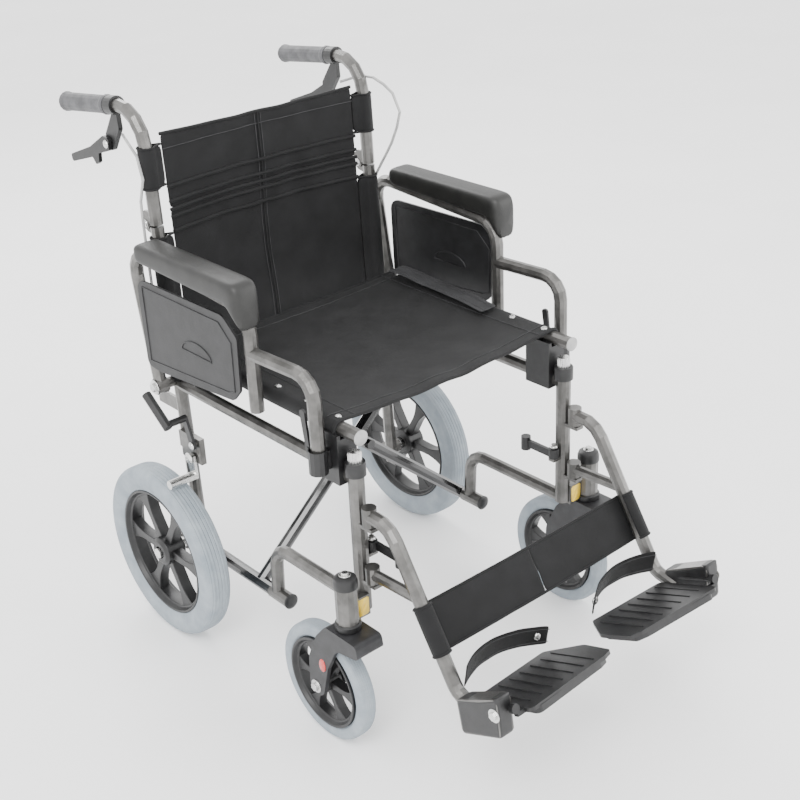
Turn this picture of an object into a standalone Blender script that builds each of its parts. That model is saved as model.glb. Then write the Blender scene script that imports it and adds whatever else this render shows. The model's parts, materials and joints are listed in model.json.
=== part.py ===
"""A folding manual transit wheelchair, open and at rest.

The chair faces -Y, +X is the occupant's left, and it stands on z = 0. Lengths are in metres.
Most sub-parts come in pairs: side = -1 is the occupant's right and side = +1 the left.
"""

import math

import bmesh
import bpy
from mathutils import Matrix, Vector

# Clearances and tube sizes
GAP = 0.0003
RUNNING_GAP = 0.0006
TUBE_RADIUS = 0.011
POST_RADIUS = 0.0125
TUBE_SIDES_LEVEL = 3
SMALL_SIDES_LEVEL = 2
ROUND_SIDES = 12
CUT_SIDES = 18
ARC_STEP_DEG = 26

# Where the chair's own reference lies along Y, so that its box is centred on the origin
ROOT_Y = -0.003733

# Frame
FRAME_X = 0.222
BACK_FOOT_Y = 0.2670
BACK_FOOT_Z = 0.1575
BACK_SLOPE = 0.038
SIDE_RAIL_Z = 0.461
FRONT_POST_Y = -0.183
FRONT_POST_Z = (0.235, 0.486)
LOWER_RAIL_Z = 0.243
LOWER_RAIL_CORNER_Y = 0.040
PIVOT_Z = 0.148
SLEEVE_RADIUS = 0.0125
PIVOT_BORE_RADIUS = 0.0088
PIVOT_SPIGOT_RADIUS = 0.008
FRONT_SLEEVE_Y = (0.011, 0.060)
REAR_SLEEVE_Y = (0.244, 0.262)

# Scissor brace and seat
SEAT_RAIL_Z = 0.532
SEAT_RAIL_Y = (-0.201, 0.235)
BRACE_A_Y = 0.095
BRACE_B_Y = 0.072
CENTRE_BOLT_RADIUS = 0.004
SEAT_HALF_WIDTH = 0.232
SEAT_Y = (-0.156, 0.235)
SEAT_Z = (0.5435, 0.548)

# Rear wheels
AXLE_Y = 0.283
REAR_RADIUS = 0.1575
REAR_WHEEL_X = 0.282
REAR_RIM_RADIUS = 0.1155
AXLE_RADIUS = 0.006

# Castors
STEM_X = 0.268
STEM_Y = -0.200
CASTOR_TRAIL = 0.059
CASTOR_RADIUS = 0.100
CASTOR_RIM_RADIUS = 0.0775
CASTOR_AXLE_RADIUS = 0.005

# Armrests
ARM_X = 0.257
ARM_PIVOT = (0.282, 0.467)
ARM_REAR_CORNER = (0.3165, 0.7015)
ARM_FRONT_CORNER = (0.002, 0.680)
ARM_LEG_Y = -0.144

# Legrests
HANGER_Y = -0.2085
LATCH_X = 0.1998
PLATE_HINGE = (-0.500, 0.223)
PLATE_TILT_DEG = 22.0

# Folding back
HINGE_Z = 0.7365
HINGE_BEHIND = 0.0215
HANDLE_CORNER = (0.2962, 0.9255)
HANDLE_END = (0.505, 0.902)
HANDLE_END_X = 0.226
GRIP_RADIUS = 0.0165

# Parking brake
SHOE_PIVOT = (0.228, 0.347)
LEVER_PIVOT = (0.215, 0.375)
SHOE_CENTRE = (0.2218, 0.3161)

PARTS = None
HELPERS = None
ROOT = None


def back_y(z):
    """The Y of the leaning rear post's centre line at height z."""
    return BACK_FOOT_Y + BACK_SLOPE * (z - BACK_FOOT_Z)


HINGE_Y = back_y(HINGE_Z) + HINGE_BEHIND


# Shapes: each helper returns an object in world coordinates, out of the render until node() takes it.


def clear_scene():
    for old in list(bpy.data.objects):
        bpy.data.objects.remove(old, do_unlink=True)


def collection(name):
    made = bpy.data.collections.new(name)
    bpy.context.scene.collection.children.link(made)
    return made


def material(name, colour, roughness, metallic=0.0):
    made = bpy.data.materials.new(name)
    made.use_nodes = True
    shader = made.node_tree.nodes["Principled BSDF"]
    shader.inputs["Base Color"].default_value = (*colour, 1.0)
    shader.inputs["Roughness"].default_value = roughness
    shader.inputs["Metallic"].default_value = metallic
    return made


def shape(bm):
    """A helper object from a bmesh, with its faces turned outwards."""
    bmesh.ops.recalc_face_normals(bm, faces=bm.faces)
    mesh = bpy.data.meshes.new("shape")
    bm.to_mesh(mesh)
    bm.free()
    made = bpy.data.objects.new("shape", mesh)
    HELPERS.objects.link(made)
    made.parent = ROOT
    made.hide_render = True
    made.display_type = "WIRE"
    return made


def baked(source, place):
    """The evaluated mesh of a curve or of an object with modifiers, welded, as a shape."""
    HELPERS.objects.link(source)
    bpy.context.view_layer.update()
    graph = bpy.context.evaluated_depsgraph_get()
    mesh = bpy.data.meshes.new_from_object(source.evaluated_get(graph))
    bpy.data.objects.remove(source, do_unlink=True)
    mesh.transform(place)
    bm = bmesh.new()
    bm.from_mesh(mesh)
    bpy.data.meshes.remove(mesh)
    bmesh.ops.remove_doubles(bm, verts=bm.verts, dist=0.00001)
    return shape(bm)


def aimed(point, direction):
    """The placing that sends local +Z along direction from point."""
    turn = Vector(direction).to_track_quat("Z", "Y").to_matrix().to_4x4()
    return Matrix.Translation(point) @ turn


def cylinder(radius, start, end, sides=ROUND_SIDES):
    start = Vector(start)
    end = Vector(end)
    bm = bmesh.new()
    bmesh.ops.create_cone(
        bm,
        cap_ends=True,
        segments=sides,
        radius1=radius,
        radius2=radius,
        depth=(end - start).length,
        matrix=aimed((start + end) / 2, end - start),
    )
    return shape(bm)


def box(corner, opposite, place=None):
    """A box between two opposite corners, in world space or in the frame of place."""
    size = [abs(b - a) for a, b in zip(corner, opposite)]
    middle = [(a + b) / 2 for a, b in zip(corner, opposite)]
    matrix = Matrix.Translation(middle) @ Matrix.Diagonal((*size, 1.0))
    bm = bmesh.new()
    bmesh.ops.create_cube(bm, size=1.0, matrix=(place or Matrix()) @ matrix)
    return shape(bm)


def rounded(corners, closed=False):
    """The path through (point, radius) corners, with an arc at each corner that has a radius."""
    path = []
    for index, (corner, radius) in enumerate(corners):
        corner = Vector(corner).to_3d()
        is_end = index in (0, len(corners) - 1) and not closed
        if is_end or radius == 0:
            path.append(corner)
            continue
        before = (Vector(corners[index - 1][0]).to_3d() - corner).normalized()
        after = (Vector(corners[(index + 1) % len(corners)][0]).to_3d() - corner).normalized()
        half = before.angle(after) / 2
        middle = corner + (before + after).normalized() * radius / math.sin(half)
        arm = corner + before * radius / math.tan(half) - middle
        axis = arm.cross(corner + after * radius / math.tan(half) - middle)
        turn = math.pi - 2 * half
        steps = max(2, math.ceil(math.degrees(turn) / ARC_STEP_DEG))
        for step in range(steps + 1):
            path.append(middle + Matrix.Rotation(turn * step / steps, 3, axis) @ arm)
    return path


def in_plane(x, corners):
    """The same (y, z) corners as points of the upright plane at x."""
    return [((x, *corner), radius) for corner, radius in corners]


def poly_curve(points, dimensions, cyclic):
    curve = bpy.data.curves.new("path", "CURVE")
    curve.dimensions = dimensions
    spline = curve.splines.new("POLY")
    spline.points.add(len(points) - 1)
    spline.use_cyclic_u = cyclic
    for place, point in zip(spline.points, points):
        place.co = (*point, 1.0)
    return curve


def tube(points, radius, level=TUBE_SIDES_LEVEL):
    """A round bar along points."""
    curve = poly_curve(points, "3D", False)
    curve.bevel_depth = radius
    curve.bevel_resolution = level
    curve.use_fill_caps = True
    return baked(bpy.data.objects.new("path", curve), Matrix())


def smooth_path(points, spacing):
    """Points about spacing apart on the smooth curve through the given points."""
    points = [Vector(point) for point in points]
    padded = [2 * points[0] - points[1], *points, 2 * points[-1] - points[-2]]
    path = []
    for a, b, c, d in zip(padded, padded[1:], padded[2:], padded[3:]):
        steps = max(1, round((c - b).length / spacing))
        for step in range(steps):
            t = step / steps
            path.append(
                b
                + (c - a) * t / 2
                + (2 * a - 5 * b + 4 * c - d) * t**2 / 2
                + (3 * b - a - 3 * c + d) * t**3 / 2
            )
    return [*path, points[-1]]


def outline(corners, thickness, place):
    """A flat piece with rounded corners in the XY plane of place, centred on its thickness."""
    curve = poly_curve(rounded(corners, closed=True), "2D", True)
    curve.fill_mode = "BOTH"
    curve.extrude = thickness / 2
    return baked(bpy.data.objects.new("path", curve), place)


def side_plate(corners, x, thickness):
    """A flat piece that stands in the YZ plane at x."""
    upright = Matrix(((0, 0, 1, x), (1, 0, 0, 0), (0, 1, 0, 0), (0, 0, 0, 1)))
    return outline(corners, thickness, upright)


def ribbon(points, thickness):
    """The closed outline of a band of even thickness along 2D points."""
    points = [Vector(point) for point in points]
    left = []
    right = []
    for index, point in enumerate(points):
        ahead = points[min(index + 1, len(points) - 1)]
        behind = points[max(index - 1, 0)]
        along = (ahead - behind).normalized()
        across = Vector((-along.y, along.x)) * thickness / 2
        left.append((point + across, 0))
        right.append((point - across, 0))
    return left + right[::-1]


def turned(profile, place, steps=32):
    """A shape turned about the Z axis of place from closed (radius, height) points."""
    bm = bmesh.new()
    ring = [bm.verts.new((radius, 0, height)) for radius, height in profile]
    for first, second in zip(ring, [*ring[1:], ring[0]]):
        bm.edges.new((first, second))
    mesh = bpy.data.meshes.new("profile")
    bm.to_mesh(mesh)
    bm.free()
    source = bpy.data.objects.new("profile", mesh)
    screw = source.modifiers.new("turn", "SCREW")
    screw.axis = "Z"
    screw.steps = steps
    screw.render_steps = steps
    screw.use_merge_vertices = True
    screw.merge_threshold = 0.00001
    return baked(source, place)


def boolean(base, operation, others):
    for other in others:
        step = base.modifiers.new(operation.lower(), "BOOLEAN")
        step.operation = operation
        step.object = other
        step.solver = "EXACT"
    return base


def unite(base, *others):
    return boolean(base, "UNION", others)


def cut(base, *others):
    return boolean(base, "DIFFERENCE", others)


def node(name, made, finish, origin=(0, 0, 0)):
    """Names a shape as a sub-part, gives it its material and puts its origin on its axis."""
    made.name = name
    made.data.name = name
    made.data.materials.append(finish)
    made.data.transform(Matrix.Translation(-Vector(origin)))
    made.location = origin
    made.data.shade_smooth()
    made.data.set_sharp_from_angle(angle=math.radians(35))
    HELPERS.objects.unlink(made)
    PARTS.objects.link(made)
    made.hide_render = False
    made.display_type = "TEXTURED"


def sided(name, side):
    return f"{name}_{'left' if side > 0 else 'right'}"


# Frame


def rear_post(side, finish):
    x = side * FRAME_X
    low = (x, back_y(0.140), 0.140)
    high = (x, back_y(0.7345), 0.7345)
    post = tube([low, high], TUBE_RADIUS)
    axle_boss = cylinder(0.015, (x, AXLE_Y, REAR_RADIUS), (side * 0.250, AXLE_Y, REAR_RADIUS))
    sleeve = cylinder(SLEEVE_RADIUS, (x, REAR_SLEEVE_Y[0], PIVOT_Z), (x, REAR_SLEEVE_Y[1], PIVOT_Z))
    lug = side_plate(
        [
            ((0.285, 0.716), 0),
            ((HINGE_Y + 0.010, 0.7225), 0.009),
            ((HINGE_Y + 0.010, 0.7465), 0.009),
            ((HINGE_Y - 0.010, 0.7465), 0.009),
            ((HINGE_Y - 0.010, 0.7340), 0),
            ((0.285, 0.7340), 0),
        ],
        x,
        0.006,
    )
    arm_boss = cylinder(0.009, (side * 0.226, *ARM_PIVOT), (side * 0.2455, *ARM_PIVOT))
    arm_pin = cylinder(0.005, (side * 0.240, *ARM_PIVOT), (side * 0.268, *ARM_PIVOT))
    brake_block = box((side * 0.2335, 0.205, 0.338), (side * 0.2435, 0.262, 0.385))
    brake_web = box((x, 0.256, 0.350), (side * 0.2400, 0.273, 0.380))
    cable_tab = box((side * 0.2255, 0.280, 0.409), (side * 0.2305, 0.340, 0.434))
    shoe_pin = cylinder(0.004, (side * 0.240, *SHOE_PIVOT), (side * 0.2545, *SHOE_PIVOT), 12)
    lever_pin = cylinder(0.003, (side * 0.240, *LEVER_PIVOT), (side * 0.2545, *LEVER_PIVOT), 12)
    unite(post, axle_boss, sleeve, lug, arm_boss, arm_pin)
    unite(post, brake_block, brake_web, cable_tab, shoe_pin, lever_pin)
    axle_bore = cylinder(
        AXLE_RADIUS + RUNNING_GAP, (side * 0.2222, AXLE_Y, REAR_RADIUS), (side * 0.260, AXLE_Y, REAR_RADIUS)
    )
    pivot_bore = cylinder(PIVOT_BORE_RADIUS, (x, 0.240, PIVOT_Z), (x, 0.2545, PIVOT_Z))
    hinge_bore = cylinder(0.0036, (x - 0.01, HINGE_Y, HINGE_Z), (x + 0.01, HINGE_Y, HINGE_Z), CUT_SIDES)
    cut(post, axle_bore, pivot_bore, hinge_bore)
    node(sided("rear_post", side), post, finish)


def side_rail(side, finish):
    x = side * FRAME_X
    rail = tube([(x, FRONT_POST_Y, SIDE_RAIL_Z), (x, back_y(SIDE_RAIL_Z), SIDE_RAIL_Z)], TUBE_RADIUS)
    front_cope = cylinder(POST_RADIUS + GAP, (x, FRONT_POST_Y, 0.42), (x, FRONT_POST_Y, 0.50), CUT_SIDES)
    rear_cope = cylinder(TUBE_RADIUS + GAP, (x, back_y(0.42), 0.42), (x, back_y(0.50), 0.50), CUT_SIDES)
    boss_relief = cylinder(0.0098, (side * 0.225, *ARM_PIVOT), (side * 0.250, *ARM_PIVOT))
    cut(rail, front_cope, rear_cope, boss_relief)
    node(sided("side_rail", side), rail, finish)


def front_post(side, finish):
    x = side * FRAME_X
    stem_x = side * STEM_X
    post = cylinder(POST_RADIUS, (x, FRONT_POST_Y, FRONT_POST_Z[0]), (x, FRONT_POST_Y, FRONT_POST_Z[1]))
    housing = cylinder(0.0175, (stem_x, STEM_Y, 0.2295), (stem_x, STEM_Y, 0.312), 12)
    web = box((side * 0.224, -0.200, 0.232), (side * 0.262, -0.184, 0.268))
    upper_lug = box((x - 0.008, -0.2205, 0.3840), (x + 0.008, -0.188, 0.3895))
    lower_lug = box((x - 0.008, -0.2205, 0.2860), (x + 0.008, -0.188, 0.2915))
    upper_pin = cylinder(0.004, (x, HANGER_Y, 0.386), (x, HANGER_Y, 0.408), 12)
    lower_pin = cylinder(0.004, (x, HANGER_Y, 0.288), (x, HANGER_Y, 0.308), 12)
    latch_x = side * LATCH_X
    latch_pin = cylinder(0.004, (latch_x, FRONT_POST_Y, 0.324), (latch_x, FRONT_POST_Y, 0.352))
    latch_ear = box((latch_x - side * 0.006, -0.189, 0.3210), (x - side * 0.004, -0.177, 0.3262))
    unite(post, housing, web, upper_lug, lower_lug, upper_pin, lower_pin, latch_ear, latch_pin)
    cut(post, cylinder(PIVOT_BORE_RADIUS, (stem_x, STEM_Y, 0.220), (stem_x, STEM_Y, 0.275)))
    node(sided("front_post", side), post, finish)


def lower_rail(side, finish):
    x = side * FRAME_X
    path = rounded(
        in_plane(
            x,
            [
                ((FRONT_POST_Y, LOWER_RAIL_Z), 0),
                ((LOWER_RAIL_CORNER_Y, LOWER_RAIL_Z), 0.035),
                ((LOWER_RAIL_CORNER_Y + 0.005, PIVOT_Z), 0),
            ],
        )
    )
    rail = tube(path, TUBE_RADIUS)
    sleeve = cylinder(SLEEVE_RADIUS, (x, FRONT_SLEEVE_Y[0], PIVOT_Z), (x, FRONT_SLEEVE_Y[1], PIVOT_Z))
    unite(rail, sleeve)
    front_cope = cylinder(POST_RADIUS + GAP, (x, FRONT_POST_Y, 0.20), (x, FRONT_POST_Y, 0.29), CUT_SIDES)
    pivot_bore = cylinder(PIVOT_BORE_RADIUS, (x, 0.020, PIVOT_Z), (x, 0.064, PIVOT_Z))
    cut(rail, front_cope, pivot_bore)
    node(sided("lower_rail", side), rail, finish)


def cross_tube(name, side, diagonal_y, has_bolt, finish):
    """A pivot tube on the frame's side with its diagonal up to the seat rail on the other side."""
    x = side * FRAME_X
    front = FRONT_SLEEVE_Y[1] + RUNNING_GAP
    rear = REAR_SLEEVE_Y[0] - RUNNING_GAP
    pivot = cylinder(TUBE_RADIUS, (x, front, PIVOT_Z), (x, rear, PIVOT_Z))
    spigots = cylinder(PIVOT_SPIGOT_RADIUS, (x, 0.022, PIVOT_Z), (x, 0.2530, PIVOT_Z))
    diagonal = tube([(x, diagonal_y, PIVOT_Z), (-x, diagonal_y, SEAT_RAIL_Z)], TUBE_RADIUS)
    unite(pivot, spigots, diagonal)
    centre_z = (PIVOT_Z + SEAT_RAIL_Z) / 2
    if has_bolt:
        unite(
            pivot,
            cylinder(CENTRE_BOLT_RADIUS, (0, 0.054, centre_z), (0, 0.110, centre_z), 12),
            cylinder(0.009, (0, 0.0525, centre_z), (0, 0.0605, centre_z), 6),
        )
    else:
        cut(pivot, cylinder(CENTRE_BOLT_RADIUS + RUNNING_GAP, (0, 0.05, centre_z), (0, 0.1, centre_z), CUT_SIDES))
    cope = cylinder(TUBE_RADIUS + GAP, (-x, 0.0, SEAT_RAIL_Z), (-x, 0.2, SEAT_RAIL_Z), CUT_SIDES)
    node(name, cut(pivot, cope), finish, (x, diagonal_y, PIVOT_Z))


def seat_rail(side, finish):
    x = side * FRAME_X
    rail = tube([(x, SEAT_RAIL_Y[0], SEAT_RAIL_Z), (x, SEAT_RAIL_Y[1], SEAT_RAIL_Z)], TUBE_RADIUS)
    node(sided("seat_rail", side), rail, finish)


def rail_saddle(side, finish):
    """The block on the side rail that the seat rail drops into, with the armrest's socket beside it."""
    x = side * FRAME_X
    block = box((x - 0.018, -0.167, 0.447), (x + 0.018, -0.115, 0.528))
    socket = cylinder(0.0145, (side * 0.2585, ARM_LEG_Y, 0.468), (side * 0.2585, ARM_LEG_Y, 0.506), 12)
    web = box((side * 0.236, -0.150, 0.470), (side * 0.250, -0.138, 0.500))
    latch_ear = box((side * 0.2385, -0.1215, 0.4915), (side * 0.2525, -0.1155, 0.5045))
    latch_pin = cylinder(0.0026, (side * 0.250, -0.1185, 0.498), (side * 0.2580, -0.1185, 0.498), 12)
    unite(block, socket, web, latch_ear, latch_pin)
    rail_bore = cylinder(TUBE_RADIUS + GAP, (x, -0.18, SIDE_RAIL_Z), (x, -0.10, SIDE_RAIL_Z), CUT_SIDES)
    rail_slot = box((x - 0.0117, -0.18, 0.5205), (x + 0.0117, -0.10, 0.54))
    arm_bore = cylinder(0.0128, (side * 0.2585, ARM_LEG_Y, 0.480), (side * 0.2585, ARM_LEG_Y, 0.52), CUT_SIDES)
    node(sided("rail_saddle", side), cut(block, rail_bore, rail_slot, arm_bore), finish)


# Rear wheels


def rear_axle(side, finish):
    centre = (AXLE_Y, REAR_RADIUS)
    shaft = cylinder(AXLE_RADIUS, (side * 0.2226, *centre), (side * 0.3045, *centre))
    collar = cylinder(0.010, (side * 0.2505, *centre), (side * 0.2610, *centre))
    head = cylinder(0.010, (side * 0.3010, *centre), (side * 0.3070, *centre), 6)
    node(sided("rear_axle", side), unite(shaft, collar, head), finish)


def wheel_profile(outer, inner, width):
    """A tyre section: a flat inner face, bulging walls and a crown."""
    half = width / 2
    depth = outer - inner
    wall = [(0.0, 0.74), (0.45, 1.0), (0.80, 0.84), (1.0, 0.34)]
    section = [(inner + depth * rise, half * reach) for rise, reach in wall]
    return section[::-1] + [(radius, -height) for radius, height in section]


def rim(side, x, y, z, outer, width, hub_radius, hub_half, bore):
    """A hub, a ring and six spokes, as one piece with a bore."""
    place = aimed((side * x, y, z), (1, 0, 0))
    half = width / 2
    inner = outer - 0.012
    ring = turned([(outer, half), (outer, -half), (inner, -half), (inner, half)], place, 28)
    hub = cylinder(hub_radius, (side * x - hub_half, y, z), (side * x + hub_half, y, z))
    for spoke in range(3):
        turn = Matrix.Rotation(math.pi * spoke / 3, 4, "Z")
        reach = outer - 0.006
        bar = box((-reach, -0.007, -half * 0.55), (reach, 0.007, half * 0.55), place @ turn)
        unite(hub, bar)
    unite(hub, ring)
    return cut(hub, cylinder(bore, (side * x - 0.05, y, z), (side * x + 0.05, y, z)))


def rear_wheel(side, finishes):
    centre = (side * REAR_WHEEL_X, AXLE_Y, REAR_RADIUS)
    wheel = rim(
        side, REAR_WHEEL_X, AXLE_Y, REAR_RADIUS, REAR_RIM_RADIUS, 0.042, 0.026, 0.0185, AXLE_RADIUS + RUNNING_GAP
    )
    node(sided("rear_rim", side), wheel, finishes["black"], centre)
    profile = wheel_profile(REAR_RADIUS, REAR_RIM_RADIUS + GAP * 2, 0.050)
    tyre = turned(profile, aimed(centre, (1, 0, 0)), 28)
    node(sided("rear_tyre", side), tyre, finishes["tyre"], centre)


# Castors


def castor(side, finishes):
    x = side * STEM_X
    axle = (STEM_Y + CASTOR_TRAIL, CASTOR_RADIUS)
    shape_of_side = [
        ((STEM_Y - 0.046, 0.228), 0.008),
        ((STEM_Y - 0.050, 0.205), 0.006),
        ((STEM_Y + 0.002, 0.196), 0.02),
        ((STEM_Y + 0.026, 0.150), 0),
        ((STEM_Y + 0.043, 0.086), 0.014),
        ((STEM_Y + 0.075, 0.086), 0.014),
        ((STEM_Y + 0.073, 0.150), 0.03),
        ((STEM_Y + 0.050, 0.200), 0.02),
        ((STEM_Y + 0.026, 0.228), 0.01),
    ]
    fork = side_plate(shape_of_side, x, 0.051)
    slot = box((x - 0.0180, STEM_Y - 0.06, 0.05), (x + 0.0180, STEM_Y + 0.14, 0.2045))
    stem = cylinder(0.008, (x, STEM_Y, 0.22), (x, STEM_Y, 0.268))
    bolt = cylinder(CASTOR_AXLE_RADIUS, (x - 0.0295, *axle), (x + 0.0295, *axle))
    cut(fork, slot)
    unite(fork, stem, bolt)
    node(sided("castor_fork", side), fork, finishes["fork"], (x, STEM_Y, 0.228))
    centre = (x, *axle)
    bore = CASTOR_AXLE_RADIUS + RUNNING_GAP
    wheel = rim(side, STEM_X, *axle, CASTOR_RIM_RADIUS, 0.024, 0.016, 0.0172, bore)
    node(sided("castor_rim", side), wheel, finishes["black"], centre)
    profile = wheel_profile(CASTOR_RADIUS, CASTOR_RIM_RADIUS + GAP * 2, 0.030)
    tyre = turned(profile, aimed(centre, (1, 0, 0)), 28)
    node(sided("castor_tyre", side), tyre, finishes["tyre"], centre)


# Armrests


def arm_path(x):
    """The armrest tube's main path, from its pivot eye back, over the top and down the front."""
    return rounded(
        in_plane(
            x,
            [
                (ARM_PIVOT, 0),
                (ARM_REAR_CORNER, 0.035),
                (ARM_FRONT_CORNER, 0.040),
                ((ARM_FRONT_CORNER[0], 0.517), 0),
            ],
        )
    )


def arm_tube(side, finish):
    x = side * ARM_X
    arm = tube(arm_path(x), TUBE_RADIUS)
    leg_path = in_plane(x, [((0.002, 0.612), 0), ((-0.143, 0.618), 0.035), ((ARM_LEG_Y, 0.499), 0)])
    leg = tube(rounded(leg_path), TUBE_RADIUS)
    eye = cylinder(0.014, (side * 0.2470, *ARM_PIVOT), (side * 0.2675, *ARM_PIVOT))
    unite(arm, leg, eye)
    cut(arm, cylinder(0.0056, (side * 0.24, *ARM_PIVOT), (side * 0.275, *ARM_PIVOT)))
    node(sided("arm_tube", side), arm, finish, (x, *ARM_PIVOT))


def arm_pad(side, finish):
    profile = [
        ((0.291, 0.730), 0.012),
        ((0.250, 0.699), 0.008),
        ((0.068, 0.688), 0.03),
        ((0.030, 0.672), 0.02),
        ((0.012, 0.648), 0.006),
        ((-0.016, 0.650), 0.010),
        ((-0.014, 0.730), 0.026),
    ]
    pad = side_plate(profile, side * 0.265, 0.048)
    channel = tube(arm_path(side * ARM_X), TUBE_RADIUS + 0.0008)
    node(sided("arm_pad", side), cut(pad, channel), finish, (side * 0.265, *ARM_PIVOT))


def skirt_guard(side, finish):
    profile = [
        ((0.288, 0.660), 0.02),
        ((0.286, 0.510), 0.012),
        ((0.252, 0.507), 0.010),
        ((0.041, 0.526), 0.012),
        ((0.020, 0.548), 0.010),
        ((0.016, 0.636), 0.010),
        ((0.050, 0.664), 0.020),
    ]
    guard = side_plate(profile, side * 0.2703, 0.004)
    node(sided("skirt_guard", side), guard, finish, (side * 0.2703, *ARM_PIVOT))


def arm_latch(side, finish):
    profile = [
        ((-0.1235, 0.4900), 0.005),
        ((-0.1215, 0.5100), 0),
        ((-0.1160, 0.5580), 0.005),
        ((-0.1040, 0.5580), 0.005),
        ((-0.1120, 0.5080), 0),
        ((-0.1130, 0.4900), 0.005),
    ]
    lever = side_plate(profile, side * 0.2551, 0.004)
    cut(lever, cylinder(0.0030, (side * 0.24, -0.1185, 0.498), (side * 0.27, -0.1185, 0.498), CUT_SIDES))
    node(sided("arm_latch", side), lever, finish, (side * 0.2551, -0.1185, 0.498))


# Legrests


def hanger_tube(side, finish):
    x = side * FRAME_X
    path = in_plane(
        x,
        [
            ((HANGER_Y, 0.405), 0),
            ((-0.250, 0.412), 0.045),
            ((-0.387, 0.187), 0.025),
            ((-0.432, 0.178), 0),
        ],
    )
    hanger = tube(rounded(path), TUBE_RADIUS)
    brace = tube([(x, HANGER_Y, 0.306), (x, -0.311, 0.311)], 0.009)
    upper_barrel = cylinder(0.0115, (x, HANGER_Y, 0.3902), (x, HANGER_Y, 0.421))
    lower_barrel = cylinder(0.0115, (x, HANGER_Y, 0.2922), (x, HANGER_Y, 0.319))
    hinge_box = side_plate(
        [((-0.409, 0.199), 0.006), ((-0.420, 0.146), 0.006), ((-0.496, 0.182), 0.006), ((-0.488, 0.244), 0.008)],
        side * 0.2315,
        0.027,
    )
    unite(hanger, brace, upper_barrel, lower_barrel, hinge_box)
    upper_bore = cylinder(0.0046, (x, HANGER_Y, 0.380), (x, HANGER_Y, 0.411), CUT_SIDES)
    lower_bore = cylinder(0.0046, (x, HANGER_Y, 0.280), (x, HANGER_Y, 0.311), CUT_SIDES)
    hinge = plate_frame(side)
    flip_bore = cylinder(0.0058, hinge @ Vector((0, -0.01, 0)), hinge @ Vector((0, 0.074, 0)))
    cut(hanger, upper_bore, lower_bore, flip_bore)
    node(sided("hanger_tube", side), hanger, finish, (x, HANGER_Y, 0.31))


def hanger_latch(side, finish):
    """A swing-away catch on the inner side of the front post, with a knob at its free end."""
    x = side * LATCH_X
    reach = 1 if side > 0 else -1
    eye = cylinder(0.009, (x, FRONT_POST_Y, 0.3270), (x, FRONT_POST_Y, 0.3440), 12)
    inner = x - side * 0.004
    arm_end = FRONT_POST_Y + reach * 0.060
    arm = box((inner - 0.003, FRONT_POST_Y, 0.3290), (inner + 0.003, arm_end, 0.3420))
    knob = cylinder(0.0085, (inner, arm_end, 0.3230), (inner, arm_end, 0.3470), 12)
    unite(eye, arm, knob)
    cut(eye, cylinder(0.0046, (x, FRONT_POST_Y, 0.31), (x, FRONT_POST_Y, 0.36), CUT_SIDES))
    node(sided("hanger_latch", side), eye, finish, (x, FRONT_POST_Y, 0.335))


def plate_frame(side):
    """The footplate's frame: X inboard, Y down its slope to the rear, Z up from its top."""
    tilt = math.radians(PLATE_TILT_DEG)
    rearward = (0, math.cos(tilt), -math.sin(tilt))
    upward = (0, math.sin(tilt), math.cos(tilt))
    columns = [(-side, 0, 0), rearward, upward, (side * FRAME_X, *PLATE_HINGE)]
    rows = [[column[row] for column in columns] for row in range(3)]
    return Matrix([*rows, [0, 0, 0, 1]])


def footplate(side, finish):
    frame = plate_frame(side)
    corners = [
        ((0.014, -0.0174), 0.008),
        ((0.181, -0.0044), 0.010),
        ((0.200, 0.0020), 0.006),
        ((0.204, 0.0600), 0.012),
        ((0.166, 0.1120), 0.008),
        ((0.014, 0.1010), 0.008),
    ]
    lower = frame @ Matrix.Translation((0, 0, -0.0140))
    upper = frame @ Matrix.Translation((0, 0, -0.0080))
    plate = outline(corners, 0.0060, upper)
    inset = [((u - math.copysign(0.012, u - 0.1), t), radius) for (u, t), radius in corners]
    rib = outline(inset, 0.0100, lower)
    knuckle = cylinder(0.0075, frame @ Vector((0, -0.0040, 0)), frame @ Vector((0, 0.0040, 0)), 12)
    tab = box((0.0, -0.0040, -0.0120), (0.030, 0.0040, -0.0055), frame)
    pin = cylinder(0.0050, frame @ Vector((0, 0.0, 0)), frame @ Vector((0, 0.068, 0)), 12)
    unite(plate, rib, knuckle, tab, pin)
    node(sided("footplate", side), plate, finish, frame.translation)


def heel_loop(side, finish):
    """A webbing band behind the heel, from the hanger to the footplate's rear edge."""
    path = [(side * 0.203, -0.384), (side * 0.170, -0.372), (side * 0.130, -0.368)]
    path += [(side * 0.090, -0.376), (side * 0.052, -0.398)]
    band = outline(ribbon(path, 0.003), 0.042, Matrix.Translation((0, 0, 0.2115)))
    node(sided("heel_loop", side), band, finish)


# Folding back


def handle_point(side, along):
    """A point on the push handle's straight end, measured from its corner."""
    corner = Vector((side * FRAME_X, *HANDLE_CORNER))
    end = Vector((side * HANDLE_END_X, *HANDLE_END))
    return corner + (end - corner).normalized() * along


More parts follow.
